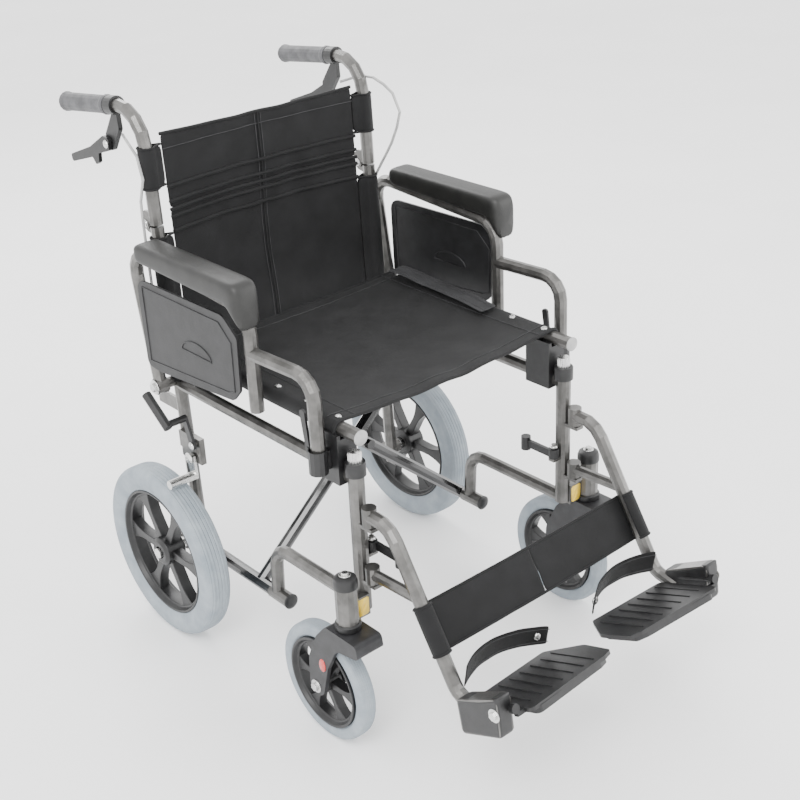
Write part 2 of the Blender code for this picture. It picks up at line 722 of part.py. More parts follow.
def push_handle(side, finish):
    x = side * FRAME_X
    end = (side * HANDLE_END_X, *HANDLE_END)
    corners = [((x, back_y(0.7378), 0.7378), 0), ((x, *HANDLE_CORNER), 0.060), (end, 0)]
    handle = tube(rounded(corners), TUBE_RADIUS)
    lug_corners = [
        ((0.286, 0.7585), 0),
        ((0.286, 0.7382), 0),
        ((HINGE_Y - 0.010, 0.7382), 0),
        ((HINGE_Y - 0.010, 0.7270), 0.0085),
        ((HINGE_Y + 0.010, 0.7270), 0.0085),
        ((HINGE_Y + 0.010, 0.7500), 0.008),
        ((HINGE_Y, 0.7585), 0),
    ]
    for offset in (-0.0054, 0.0054):
        unite(handle, side_plate(lug_corners, x + offset, 0.0040))
    unite(handle, cylinder(0.0030, (x - 0.0090, HINGE_Y, HINGE_Z), (x + 0.0090, HINGE_Y, HINGE_Z), 12))
    node(sided("push_handle", side), handle, finish, (x, HINGE_Y, HINGE_Z))


def grip(side, finish):
    """A hand grip with a ball end, over the push handle's end."""
    start = 0.0900
    end = 0.2353
    radius = GRIP_RADIUS
    profile = [(radius, end - 0.012), (radius - 0.0015, end - 0.022), (radius - 0.002, start + 0.012)]
    profile += [(radius, start + 0.006), (radius - 0.001, start), (0.0115, start), (0.0115, 0.2108)]
    profile += [(0.0, 0.2108), (0.0, end), (0.008, end - 0.0015), (0.0135, end - 0.006)]
    place = aimed(handle_point(side, 0), handle_point(side, 1) - handle_point(side, 0))
    node(sided("grip", side), turned(profile, place, 16), finish, handle_point(side, 0.15))


def brake_perch(side, finish):
    collar = cylinder(0.0152, handle_point(side, 0.0665), handle_point(side, 0.0880), 20)
    body = side_plate(
        [
            ((0.362, 0.906), 0),
            ((0.377, 0.903), 0),
            ((0.404, 0.866), 0.006),
            ((0.404, 0.841), 0.006),
            ((0.388, 0.841), 0.006),
            ((0.360, 0.880), 0.006),
        ],
        side * 0.2234,
        0.008,
    )
    pin = cylinder(0.0030, (side * 0.222, 0.395, 0.852), (side * 0.2360, 0.395, 0.852), 12)
    unite(collar, body, pin)
    cut(collar, cylinder(TUBE_RADIUS + GAP, handle_point(side, 0.05), handle_point(side, 0.10), CUT_SIDES))
    node(sided("brake_perch", side), collar, finish, (side * 0.2234, HINGE_Y, HINGE_Z))


def brake_lever(side, finish):
    blade = side_plate(
        [
            ((0.386, 0.862), 0.006),
            ((0.404, 0.864), 0.006),
            ((0.450, 0.838), 0.02),
            ((0.519, 0.813), 0.005),
            ((0.517, 0.800), 0.005),
            ((0.446, 0.821), 0),
            ((0.436, 0.810), 0.004),
            ((0.426, 0.816), 0.003),
            ((0.424, 0.831), 0),
            ((0.388, 0.842), 0.006),
        ],
        side * 0.2312,
        0.006,
    )
    cut(blade, cylinder(0.0036, (side * 0.22, 0.395, 0.852), (side * 0.24, 0.395, 0.852), CUT_SIDES))
    node(sided("brake_lever", side), blade, finish, (side * 0.2312, 0.395, 0.852))


def brake_cable(side, finish):
    """The cable's held route from the lever's perch, past the back hinge, down to the frame's tab."""
    x = side * 0.2372
    if side > 0:
        upper = [(side * 0.2234, 0.3570, 0.872), (side * 0.2368, 0.330, 0.882), (x, 0.282, 0.888)]
        upper += [(x, 0.232, 0.868), (x, 0.215, 0.838), (x, 0.240, 0.780), (x, 0.270, 0.738)]
    else:
        upper = [(side * 0.2234, 0.3570, 0.872), (side * 0.2368, 0.325, 0.872), (x, 0.297, 0.850)]
        upper += [(x, 0.288, 0.815), (x, 0.303, 0.776)]
    lower = [(x, 0.304, 0.680), (x, 0.302, 0.600), (x, 0.302, 0.520), (x, 0.303, 0.470)]
    lower += [(side * 0.229, 0.310, 0.4365)]
    route = smooth_path(upper + lower, 0.028)
    node(sided("brake_cable", side), tube(route, 0.0025, SMALL_SIDES_LEVEL), finish)


# Parking brake


def parking_lever(side, finish):
    """A hand lever on the brake block: a thin strip inboard, a cross bar and a thick handle outboard."""
    strip = side_plate(
        [((0.207, 0.368), 0.006), ((0.221, 0.366), 0.006), ((0.238, 0.418), 0), ((0.228, 0.424), 0)],
        side * 0.2490,
        0.005,
    )
    cross = cylinder(0.006, (side * 0.2470, 0.232, 0.420), (side * 0.2860, 0.232, 0.420), 12)
    handle = tube([(side * 0.285, 0.227, 0.416), (side * 0.285, 0.285, 0.459)], 0.008)
    unite(strip, cross, handle)
    cut(strip, cylinder(0.0036, (side * 0.24, *LEVER_PIVOT), (side * 0.26, *LEVER_PIVOT), CUT_SIDES))
    node(sided("parking_lever", side), strip, finish, (side * 0.2490, *LEVER_PIVOT))


def parking_shoe(side, finish):
    """The bar that presses on the tyre, on an arm that turns on the brake block."""
    arm = side_plate(
        [((0.217, 0.354), 0.008), ((0.214, 0.308), 0.007), ((0.230, 0.308), 0.007), ((0.239, 0.354), 0.008)],
        side * 0.2490,
        0.005,
    )
    shoe = cylinder(0.0078, (side * 0.2470, *SHOE_CENTRE), (side * 0.3000, *SHOE_CENTRE))
    unite(arm, shoe)
    cut(arm, cylinder(0.0046, (side * 0.24, *SHOE_PIVOT), (side * 0.26, *SHOE_PIVOT), CUT_SIDES))
    node(sided("parking_shoe", side), arm, finish, (side * 0.2490, *SHOE_PIVOT))


# Upholstery, as plain closed solids


def seat_sling(finish):
    low = (-SEAT_HALF_WIDTH, SEAT_Y[0], SEAT_Z[0])
    node("seat_sling", box(low, (SEAT_HALF_WIDTH, SEAT_Y[1], SEAT_Z[1])), finish)


def back_sling(finish):
    """A thin slab between the rear posts that leans with them, narrower beside the back hinges."""
    half = FRAME_X - TUBE_RADIUS - 0.0015
    narrow = 0.194
    right_edge = [(half, 0.470), (half, 0.716), (narrow, 0.722), (narrow, 0.791), (half, 0.797)]
    right_edge += [(half, 0.862), (0.150, 0.876)]
    corners = right_edge + [(-x, z) for x, z in right_edge[::-1]]
    offset = back_y(0)
    lean = Matrix(((1, 0, 0, 0), (0, BACK_SLOPE, -1, offset), (0, 1, 0, 0), (0, 0, 0, 1)))
    node("back_sling", outline([(corner, 0) for corner in corners], 0.004, lean), finish)


def calf_strap(finish):
    top = Vector((0, -0.307, 0.302))
    bottom = Vector((0, -0.357, 0.236))
    place = aimed((top + bottom) / 2, bottom - top)
    half = FRAME_X - TUBE_RADIUS - 0.0010
    length = (bottom - top).length
    along_x = place.to_3x3().inverted() @ Vector((1, 0, 0))
    reach = Vector([half if abs(axis) > 0.5 else 0.0015 for axis in along_x])
    reach.z = length / 2
    node("calf_strap", box(-reach, reach, place), finish)


def lap_belt(finish):
    corners = [((0.176, 0.205), 0.006), ((0.214, 0.205), 0.006), ((0.222, -0.030), 0.006), ((0.184, -0.034), 0.006)]
    node("lap_belt", outline(corners, 0.0022, Matrix.Translation((0, 0, 0.5496))), finish)


def build():
    global PARTS, HELPERS, ROOT
    clear_scene()
    PARTS = collection("wheelchair")
    HELPERS = collection("cutters")
    HELPERS.hide_render = True
    ROOT = bpy.data.objects.new("wheelchair_origin", None)
    ROOT.location = (0, ROOT_Y, 0)
    PARTS.objects.link(ROOT)
    finishes = {
        "frame": material("silver_paint", (0.50, 0.49, 0.46), 0.35, 0.7),
        "gloss": material("black_paint", (0.02, 0.02, 0.022), 0.25),
        "black": material("black_plastic", (0.03, 0.03, 0.032), 0.45),
        "fork": material("fork_plastic", (0.06, 0.06, 0.065), 0.5),
        "tyre": material("grey_tyre", (0.42, 0.45, 0.48), 0.7),
        "steel": material("bright_steel", (0.62, 0.62, 0.62), 0.3, 1.0),
        "grip": material("grip_rubber", (0.20, 0.20, 0.21), 0.6),
        "pad": material("arm_pad", (0.06, 0.06, 0.055), 0.5),
        "guard": material("guard_plastic", (0.07, 0.07, 0.075), 0.5),
        "nylon": material("black_nylon", (0.03, 0.03, 0.032), 0.8),
        "cable": material("grey_cable", (0.55, 0.55, 0.55), 0.4),
    }
    pairs = [
        (rear_post, "frame"),
        (side_rail, "frame"),
        (front_post, "frame"),
        (lower_rail, "frame"),
        (seat_rail, "frame"),
        (rail_saddle, "black"),
        (rear_axle, "steel"),
        (arm_tube, "frame"),
        (arm_pad, "pad"),
        (skirt_guard, "guard"),
        (arm_latch, "black"),
        (hanger_tube, "frame"),
        (hanger_latch, "black"),
        (footplate, "black"),
        (heel_loop, "nylon"),
        (push_handle, "frame"),
        (grip, "grip"),
        (brake_perch, "black"),
        (brake_lever, "black"),
        (brake_cable, "cable"),
        (parking_lever, "black"),
        (parking_shoe, "steel"),
    ]
    for side in (-1, 1):
        for piece, finish in pairs:
            piece(side, finishes[finish])
        rear_wheel(side, finishes)
        castor(side, finishes)
    cross_tube("cross_tube_a", -1, BRACE_A_Y, True, finishes["gloss"])
    cross_tube("cross_tube_b", 1, BRACE_B_Y, False, finishes["gloss"])
    seat_sling(finishes["nylon"])
    back_sling(finishes["nylon"])
    calf_strap(finishes["nylon"])
    lap_belt(finishes["nylon"])


build()
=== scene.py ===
"""The looks of the folding transit wheelchair: finishes, cloth, wheels, fittings, floor, light and camera.

The chair faces -Y, +X is the occupant's left, and it stands on z = 0. Lengths are in metres.
"""

import json
import math

import bmesh
import bpy
from mathutils import Matrix, Vector, noise


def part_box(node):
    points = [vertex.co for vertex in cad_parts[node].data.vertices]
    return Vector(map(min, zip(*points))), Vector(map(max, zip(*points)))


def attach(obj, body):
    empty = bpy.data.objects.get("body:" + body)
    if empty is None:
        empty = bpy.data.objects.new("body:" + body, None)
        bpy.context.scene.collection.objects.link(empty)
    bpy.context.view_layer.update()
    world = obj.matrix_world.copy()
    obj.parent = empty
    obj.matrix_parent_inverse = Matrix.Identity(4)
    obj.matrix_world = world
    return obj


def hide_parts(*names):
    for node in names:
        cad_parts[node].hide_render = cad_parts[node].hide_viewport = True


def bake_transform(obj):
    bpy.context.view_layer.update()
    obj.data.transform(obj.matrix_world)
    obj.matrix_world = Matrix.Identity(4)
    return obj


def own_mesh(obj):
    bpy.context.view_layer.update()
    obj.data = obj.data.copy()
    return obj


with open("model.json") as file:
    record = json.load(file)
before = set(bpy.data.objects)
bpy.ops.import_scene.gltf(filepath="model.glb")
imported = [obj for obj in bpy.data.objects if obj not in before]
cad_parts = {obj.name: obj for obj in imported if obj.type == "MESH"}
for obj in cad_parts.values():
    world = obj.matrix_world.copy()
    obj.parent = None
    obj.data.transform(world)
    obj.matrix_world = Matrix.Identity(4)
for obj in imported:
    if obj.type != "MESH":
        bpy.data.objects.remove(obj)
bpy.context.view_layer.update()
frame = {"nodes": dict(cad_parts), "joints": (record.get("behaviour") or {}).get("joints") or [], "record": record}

SIDES = {"right": -1, "left": 1}
TUBE_RADIUS = 0.011
CLOTH = 0.0018
SLEEVE = TUBE_RADIUS + CLOTH
SMOOTH_ANGLE = math.radians(38)
HALF_BACK = 0.194  # from the middle to the sleeves' inner edges
PIN_END = {"arm": 0.2680, "parking": 0.2530, "brake": 0.2345}  # |x| of the outer ends of pivot pins
LATCH_TOP_Z = 0.3470
HOUSING_TOP_Z = 0.312
HOUSING_FOOT_Z = 0.230
HOUSING_RADIUS = 0.0177
BRACE_FOOT_Z = 0.148
BRACE_SLOPE = 0.384 / 0.444


# Finishes


def new_material(name):
    """A material, its node tree and its Principled shader."""
    made = bpy.data.materials.new(name)
    made.use_nodes = True
    return made, made.node_tree, made.node_tree.nodes["Principled BSDF"]


def coordinates(tree, stretch=(1, 1, 1)):
    """Object coordinates, stretched along each axis."""
    source = tree.nodes.new("ShaderNodeTexCoord")
    mapping = tree.nodes.new("ShaderNodeMapping")
    mapping.inputs["Scale"].default_value = stretch
    tree.links.new(source.outputs["Object"], mapping.inputs["Vector"])
    return mapping.outputs["Vector"]


def noise_value(tree, vector, scale, detail=4.0, roughness=0.55):
    """A noise texture's value."""
    made = tree.nodes.new("ShaderNodeTexNoise")
    made.inputs["Scale"].default_value = scale
    made.inputs["Detail"].default_value = detail
    made.inputs["Roughness"].default_value = roughness
    tree.links.new(vector, made.inputs["Vector"])
    return made.outputs["Fac"]


def ramp(tree, value, low, high, start=0.35, end=0.65):
    """A colour between low and high."""
    made = tree.nodes.new("ShaderNodeValToRGB")
    made.color_ramp.elements[0].position = start
    made.color_ramp.elements[0].color = (*low, 1)
    made.color_ramp.elements[1].position = end
    made.color_ramp.elements[1].color = (*high, 1)
    tree.links.new(value, made.inputs["Fac"])
    return made.outputs["Color"]


def spread(tree, value, low, high):
    """A value mapped from 0..1 to low..high."""
    made = tree.nodes.new("ShaderNodeMapRange")
    made.inputs["To Min"].default_value = low
    made.inputs["To Max"].default_value = high
    tree.links.new(value, made.inputs["Value"])
    return made.outputs["Result"]


def bump(tree, shader, height, strength, distance):
    """Drives the shader's normal from a height."""
    made = tree.nodes.new("ShaderNodeBump")
    made.inputs["Strength"].default_value = strength
    made.inputs["Distance"].default_value = distance
    tree.links.new(height, made.inputs["Height"])
    tree.links.new(made.outputs["Normal"], shader.inputs["Normal"])


def mixed(tree, kind, first, second):
    """A math node on two values or sockets."""
    made = tree.nodes.new("ShaderNodeMath")
    made.operation = kind
    for socket, value in zip(made.inputs, (first, second)):
        if isinstance(value, (int, float)):
            socket.default_value = value
        else:
            tree.links.new(value, socket)
    return made.outputs["Value"]


def surface(name, dark, light, rough, grain, depth, metallic=0.0, coat=0.0, stretch=(1, 1, 1)):
    """A finish with slow colour variation, uneven roughness and a fine grain."""
    made, tree, shader = new_material(name)
    place = coordinates(tree, stretch)
    slow = noise_value(tree, place, grain / 14, 3.0)
    fine = noise_value(tree, place, grain, 3.0)
    tree.links.new(ramp(tree, slow, dark, light), shader.inputs["Base Color"])
    tree.links.new(spread(tree, fine, rough[0], rough[1]), shader.inputs["Roughness"])
    shader.inputs["Metallic"].default_value = metallic
    shader.inputs["Coat Weight"].default_value = coat
    shader.inputs["Coat Roughness"].default_value = 0.12
    bump(tree, shader, fine, 0.5, depth)
    return made


def bands(tree, vector, direction, scale):
    """Straight bands across one axis."""
    made = tree.nodes.new("ShaderNodeTexWave")
    made.wave_type = "BANDS"
    made.bands_direction = direction
    made.inputs["Scale"].default_value = scale
    tree.links.new(vector, made.inputs["Vector"])
    return made.outputs["Fac"]


def woven(name, dark, light, threads=420.0, across="X", along="Z", sheen=0.04):
    """Plain-weave nylon with dusty folds and a soft sheen."""
    made, tree, shader = new_material(name)
    place = coordinates(tree)
    warp = bands(tree, place, across, threads)
    weft = bands(tree, place, along, threads)
    weave = mixed(tree, "MAXIMUM", warp, weft)
    cloud = noise_value(tree, place, 26.0, 5.0)
    tree.links.new(ramp(tree, cloud, dark, light, 0.3, 0.75), shader.inputs["Base Color"])
    tree.links.new(spread(tree, cloud, 0.62, 0.82), shader.inputs["Roughness"])
    shader.inputs["Sheen Weight"].default_value = sheen
    shader.inputs["Sheen Roughness"].default_value = 0.4
    shader.inputs["Specular IOR Level"].default_value = 0.28
    puckers = noise_value(tree, place, 70.0, 2.0)
    height = mixed(tree, "ADD", weave, mixed(tree, "MULTIPLY", puckers, 3.0))
    bump(tree, shader, height, 0.45, 0.0006)
    return made


def tyre_rubber(name, colour, dusty):
    """Solid pale rubber with fine circumferential ribs and dusty patches."""
    made, tree, shader = new_material(name)
    place = coordinates(tree)
    ribs = bands(tree, place, "X", 90.0)
    dust = noise_value(tree, place, 34.0, 6.0)
    tree.links.new(ramp(tree, dust, colour, dusty, 0.3, 0.7), shader.inputs["Base Color"])
    tree.links.new(spread(tree, dust, 0.62, 0.85), shader.inputs["Roughness"])
    height = mixed(tree, "ADD", ribs, noise_value(tree, place, 600.0, 2.0))
    bump(tree, shader, height, 0.4, 0.0007)
    return made


FINISH = {
    "frame": surface(
        "hammered_silver", (0.085, 0.083, 0.079), (0.150, 0.146, 0.140), (0.24, 0.42), 420, 0.0006, 0.80, 0.25
    ),
    "gloss": surface(
        "gloss_black", (0.003, 0.003, 0.0033), (0.006, 0.006, 0.0066), (0.14, 0.26), 260, 0.0002, 0, 0.5
    ),
    "black": surface(
        "satin_black", (0.004, 0.004, 0.0044), (0.010, 0.010, 0.0105), (0.34, 0.50), 900, 0.0002
    ),
    "fork": surface("fork_grey", (0.010, 0.010, 0.011), (0.020, 0.020, 0.022), (0.42, 0.56), 800, 0.0003),
    "tyre": tyre_rubber("grey_tyre", (0.20, 0.235, 0.265), (0.29, 0.325, 0.355)),
    "steel": surface("zinc_steel", (0.50, 0.50, 0.50), (0.72, 0.72, 0.70), (0.18, 0.36), 500, 0.0002, 1.0),
    "grip": surface("grip_rubber", (0.050, 0.050, 0.053), (0.095, 0.095, 0.10), (0.5, 0.68), 700, 0.0004),
    "pad": surface("pad_skin", (0.005, 0.005, 0.0045), (0.011, 0.011, 0.010), (0.40, 0.58), 520, 0.0004),
    "guard": surface("guard_grain", (0.005, 0.005, 0.0055), (0.011, 0.011, 0.012), (0.44, 0.60), 700, 0.0003),
    "nylon": woven("black_nylon", (0.0025, 0.0025, 0.0028), (0.009, 0.009, 0.0096)),
    "cable": surface("cable_sheath", (0.30, 0.30, 0.30), (0.42, 0.42, 0.41), (0.3, 0.45), 600, 0.0002),
}
SEAT_CLOTH = woven("seat_nylon", (0.003, 0.003, 0.0033), (0.011, 0.011, 0.0115), across="X", along="Y")
WEBBING = woven("black_webbing", (0.003, 0.003, 0.0033), (0.010, 0.010, 0.0105), 260.0)
BELT_WEB = woven("grey_webbing", (0.016, 0.016, 0.017), (0.034, 0.034, 0.036), 260.0, across="X", along="Y")
THREAD = surface("seam_thread", (0.015, 0.015, 0.016), (0.030, 0.030, 0.032), (0.6, 0.8), 900, 0.0002)
LABEL_YELLOW = surface("plain_yellow", (0.75, 0.50, 0.04), (0.85, 0.60, 0.08), (0.3, 0.4), 300, 0.0001)
LABEL_WHITE = surface("plain_white", (0.78, 0.78, 0.76), (0.88, 0.88, 0.86), (0.3, 0.4), 300, 0.0001)
REFLECTOR = surface("red_reflector", (0.45, 0.02, 0.015), (0.60, 0.04, 0.03), (0.1, 0.2), 900, 0.0006, 0, 0.6)


# Making pieces


def slot_of(node):
    """The record's material slot for a node."""
    return next(part["material_slot"] for part in frame["record"]["subparts"] if part["node"] == node)


def body_of(node):
    """The record's body that holds a node."""
    return next(name for name, nodes in frame["record"]["behaviour"]["bodies"].items() if node in nodes)


def piece(name, bm, finish, body, sharp=SMOOTH_ANGLE):
    """A smooth-shaded object from a bmesh, riding on a body."""
    bmesh.ops.recalc_face_normals(bm, faces=bm.faces)
    mesh = bpy.data.meshes.new(name)
    bm.to_mesh(mesh)
    bm.free()
    mesh.materials.append(finish)
    mesh.shade_smooth()
    mesh.set_sharp_from_angle(angle=sharp)
    made = bpy.data.objects.new(name, mesh)
    bpy.context.scene.collection.objects.link(made)
    if body:
        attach(made, body)
    return made


def modify(obj, kind, **settings):
    """Adds a modifier with these settings."""
    step = obj.modifiers.new(kind.lower(), kind)
    for key, value in settings.items():
        setattr(step, key, value)
    return step


def grid(bm, rows):
    """Joins equal rows of points into a sheet."""
    made = [[bm.verts.new(point) for point in row] for row in rows]
    for upper, lower in zip(made, made[1:]):
        for a, b, c, d in zip(upper, upper[1:], lower[1:], lower):
            bm.faces.new((a, b, c, d))


def sheet(name, rows, finish, thickness=CLOTH, levels=1):
    """A cloth sheet of even thickness through rows of points."""
    bm = bmesh.new()
    grid(bm, rows)
    made = piece(name, bm, finish, None)
    modify(made, "SOLIDIFY", thickness=thickness, offset=0.0)
    modify(made, "SUBSURF", levels=levels, render_levels=levels)
    return made


def pipe(name, points, radius, finish, body, sides=10, closed=False):
    """A round cord or bar along points."""
    curve = bpy.data.curves.new(name, "CURVE")
    curve.dimensions = "3D"
    curve.bevel_depth = radius
    curve.bevel_resolution = sides // 4
    curve.use_fill_caps = True
    spline = curve.splines.new("POLY")
    spline.points.add(len(points) - 1)
    spline.use_cyclic_u = closed
    for place, point in zip(spline.points, points):
        place.co = (*point, 1.0)
    drawn = bpy.data.objects.new(name, curve)
    mesh = bpy.data.meshes.new_from_object(drawn)
    bpy.data.objects.remove(drawn)
    mesh.materials.clear()
    mesh.materials.append(finish)
    made = bpy.data.objects.new(name, mesh)
    bpy.context.scene.collection.objects.link(made)
    if body:
        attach(made, body)
    return made


def skin(bm, rings):
    """Faces between rings of vertices, with both ends closed."""
    for first, second in zip(rings, rings[1:]):
        for corners in zip(first, [*first[1:], first[0]], [*second[1:], second[0]], second):
            bm.faces.new(corners)
    bm.faces.new(rings[0])
    bm.faces.new(rings[-1])


def lathe(bm, profile, place, steps=96):
    """Turns a closed (radius, height) outline about the Z axis of place."""
    rings = []
    for step in range(steps):
        angle = 2 * math.pi * step / steps
        ring = []
        for radius, height in profile:
            point = Vector((radius * math.cos(angle), radius * math.sin(angle), height))
            ring.append(bm.verts.new(place @ point))
        rings.append(ring)
    for first, second in zip(rings, [*rings[1:], rings[0]]):
        for a, b, c, d in zip(first, [*first[1:], first[0]], [*second[1:], second[0]], second):
            bm.faces.new((a, b, c, d))


def aimed(point, direction):
    """A place at a point whose Z looks along a direction."""
    turn = Vector(direction).to_track_quat("Z", "Y").to_matrix().to_4x4()
    return Matrix.Translation(point) @ turn


def middle(node):
    """The centre of a CAD node's box."""
    low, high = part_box(node)
    return (low + high) / 2


def show_cad_nodes():
    """The carried-over CAD nodes with their finishes, shaded smooth."""
    for name, obj in frame["nodes"].items():
        finish = FINISH[slot_of(name)]
        if obj.material_slots:
            obj.material_slots[0].material = finish
        else:
            obj.data.materials.append(finish)
        obj.data.shade_smooth()
        obj.data.set_sharp_from_angle(angle=SMOOTH_ANGLE)


show_cad_nodes()


# Cloth


def waves(x, y, z, size=22.0):
    """Small uneven folds, the same each run."""
    return noise.noise(Vector((x, y, z)) * size) + 0.5 * noise.noise(Vector((x, y, z)) * size * 2.3)


def arc(centre, radius, start_deg, end_deg, steps):
    """(first, second) points round a centre, counted from the first axis."""
    found = []
    for step in range(steps + 1):
        angle = math.radians(start_deg + (end_deg - start_deg) * step / steps)
        found.append((centre[0] + radius * math.cos(angle), centre[1] + radius * math.sin(angle)))
    return found


def seat_section(rail, sag, count=30):
    """(x, z) points from under the left rail, over the seat, to under the right rail."""
    left = arc((rail.x, rail.z), SLEEVE, -118, 82, 10)
    edge_x, edge_z = left[-1]
    span = []
    for step in range(1, count):
        x = edge_x * (1 - 2 * step / count)
        span.append((x, edge_z - sag * (1 - (x / edge_x) ** 2)))
    return left + span + [(-x, z) for x, z in left[::-1]]


def seat_cloth():
    """The seat: a nylon sheet sleeved over both rails, hollowed where it hangs between them."""
    low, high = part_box("seat_sling")
    rail = middle("seat_rail_left")
    rows = []
    count = 34
    for row in range(count + 1):
        along = row / count
        y = low.y + (high.y - low.y) * along
        sag = 0.006 + 0.010 * math.sin(math.pi * min(1.0, along * 0.9 + 0.08))
        points = []
        for x, z in seat_section(rail, sag):
            free = max(0.0, 1 - (x / (rail.x - 0.01)) ** 2)
            ripple = waves(x * 0.5, y, 0.3) * 0.0022 * free
            tension = 0.0012 * math.sin(x * 62) * free * max(0.0, 1 - along * 3)
            points.append(Vector((x, y + 0.004 * free * (along - 0.5), z + ripple - tension)))
        rows.append(points)
    cloth = sheet("seat_cloth", rows, SEAT_CLOTH)
    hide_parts("seat_sling")
    pieces = [cloth]
    for name, row, radius in (("seat_front_hem", 0, 0.0030), ("seat_rear_hem", count, 0.0026)):
        pieces.append(pipe(name, rows[row], radius, SEAT_CLOTH, None, 12))
    lift = Vector((0, 0, 0.0014))
    for name, row in (("seat_front_seam", 2), ("seat_rear_seam", count - 2)):
        stitches = [point + lift for point in rows[row][9:-9]]
        pieces.append(pipe(name, stitches, 0.0007, THREAD, None, 8))
    for name, column in (("seat_left_seam", 12), ("seat_right_seam", -13)):
        pieces.append(pipe(name, [row[column] + lift for row in rows], 0.0007, THREAD, None, 8))
    for item in pieces:
        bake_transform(item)
    for side, body in ((1, "cross_a"), (-1, "cross_b")):
        for index in range(6):
            y = low.y + 0.012 + (high.y - low.y - 0.03) * index / 5
            place = aimed((side * (rail.x - 0.006), y, rail.z + 0.0122), (-side * 0.35, 0, 1))
            stud(f"seat_stud_{index}_{'left' if side > 0 else 'right'}", place, 0.0052, body)


def stud(name, place, radius, body, finish=None):
    """A domed screw head with a washer and a cross recess ring."""
    bm = bmesh.new()
    washer = [(0.0008, 0.0002), (radius * 1.15, 0.0), (radius * 1.15, 0.0008), (radius, 0.0011)]
    dome = [(radius * 0.9, 0.0022), (radius * 0.55, 0.0031), (radius * 0.3, 0.0032), (radius * 0.26, 0.0024)]
    lathe(bm, washer + dome + [(0.0004, 0.0024)], place, 24)
    return piece(name, bm, finish or FINISH["steel"], body)


def back_lean():
    """The Y of the back's centre plane at a height, from the CAD slab's two ends."""
    low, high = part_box("back_sling")
    slope = (high.y - low.y - 0.004) / (high.z - low.z)
    return lambda z: low.y + 0.002 + slope * (z - low.z)


def back_panel(name, z_low, z_high, body, rib_rows):
    """One half of the back between the posts: bellied and creased, with a seam, hems and raised ribs."""
    lean = back_lean()
    half = HALF_BACK
    low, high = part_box("back_sling")
    rows = []
    count = max(6, round((z_high - z_low) / 0.012))
    for row in range(count + 1):
        z = z_low + (z_high - z_low) * row / count
        points = []
        for column in range(33):
            x = half * (1 - column / 16)
            free = 1 - (x / half) ** 2
            height = (z - low.z) / (high.z - low.z)
            belly = free * (0.006 + 0.014 * math.sin(math.pi * min(1, height * 0.95 + 0.05)))
            ripple = waves(x, 0.1, z * 0.6, 16.0) * 0.0030 * free
            crease = 0.0016 * math.sin(abs(x) * 70 + z * 30) * free
            top = -0.004 * free * max(0.0, height - 0.96) / 0.04
            points.append(Vector((x, lean(z) + belly + ripple + crease, z + top)))
        rows.append(points)
    panel = sheet(f"back_panel_{name}", rows, FINISH["nylon"])
    pieces = [panel]
    front = Vector((0, -0.0018, 0))
    seam = [row[16] + front for row in rows]
    pieces.append(pipe(f"back_seam_{name}", seam, 0.0014, FINISH["nylon"], None, 8))
    for shift in (-1, 1):
        stitches = [row[16] + front + Vector((shift * 0.006, 0, 0)) for row in rows]
        pieces.append(pipe(f"back_stitch_{name}_{shift + 1}", stitches, 0.0006, THREAD, None, 8))
    edge = 0 if name == "lower" else -1
    pieces.append(pipe(f"back_hem_{name}", rows[edge], 0.0028, FINISH["nylon"], None, 12))
    seam_row = rows[2 if name == "lower" else -3]
    stitches = [point + front for point in seam_row]
    pieces.append(pipe(f"back_hem_seam_{name}", stitches, 0.0007, THREAD, None, 8))
    for index in rib_rows:
        rib = [point + front * 1.6 for point in rows[index]]
        pieces.append(pipe(f"back_rib_{name}_{index % len(rows)}", rib, 0.0030, FINISH["nylon"], None, 12))
    for item in pieces:
        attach(item, body)
        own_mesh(item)
    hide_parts("back_sling")


def joint_place(name):
    """A joint's place in the frame."""
    return Vector(next(joint["pos_m"] for joint in frame["joints"] if joint["name"] == name))


def back_sleeve(name, side, z_low, z_high, body, outer=SLEEVE + 0.0007):
    """The back's cloth wrapped round one post, between two heights."""
    lean = back_lean()
    post_x = abs(joint_place("hanger_swing_left").x)
    rows = []
    count = max(4, round((z_high - z_low) / 0.02))
    for row in range(count + 1):
        z = z_low + (z_high - z_low) * row / count
        round_post = arc((post_x, lean(z)), outer, 205, 490, 18)
        points = [(HALF_BACK, lean(z)), *round_post, (HALF_BACK - 0.0005, lean(z) + 0.002)]
        rows.append([Vector((side * x, y + waves(x, y, z, 60) * 0.0003, z)) for x, y in points])
    cloth = sheet(f"back_sleeve_{name}", rows, FINISH["nylon"], 0.0014)
    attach(cloth, body)
    for label, row in (("top", -1), ("bottom", 0)):
        hem = pipe(f"back_sleeve_hem_{label}_{name}", rows[row], 0.0017, FINISH["nylon"], body, 8)


def back_cloth():
    """The back's two halves, which part at its hinges, and the four sleeves that hold them."""
    low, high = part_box("back_sling")
    hinge_z = joint_place("back_fold_left").z + 0.019
    back_panel("lower", low.z, hinge_z, "frame_right", (-1, -2, -4))
    back_panel("upper", hinge_z + 0.001, high.z + 0.002, "back_right", (1, 3))
    for word, side in SIDES.items():
        back_sleeve(f"lower_{word}", side, low.z, 0.716, f"frame_{word}")
        back_sleeve(f"upper_{word}", side, 0.797, 0.862, f"back_{word}")


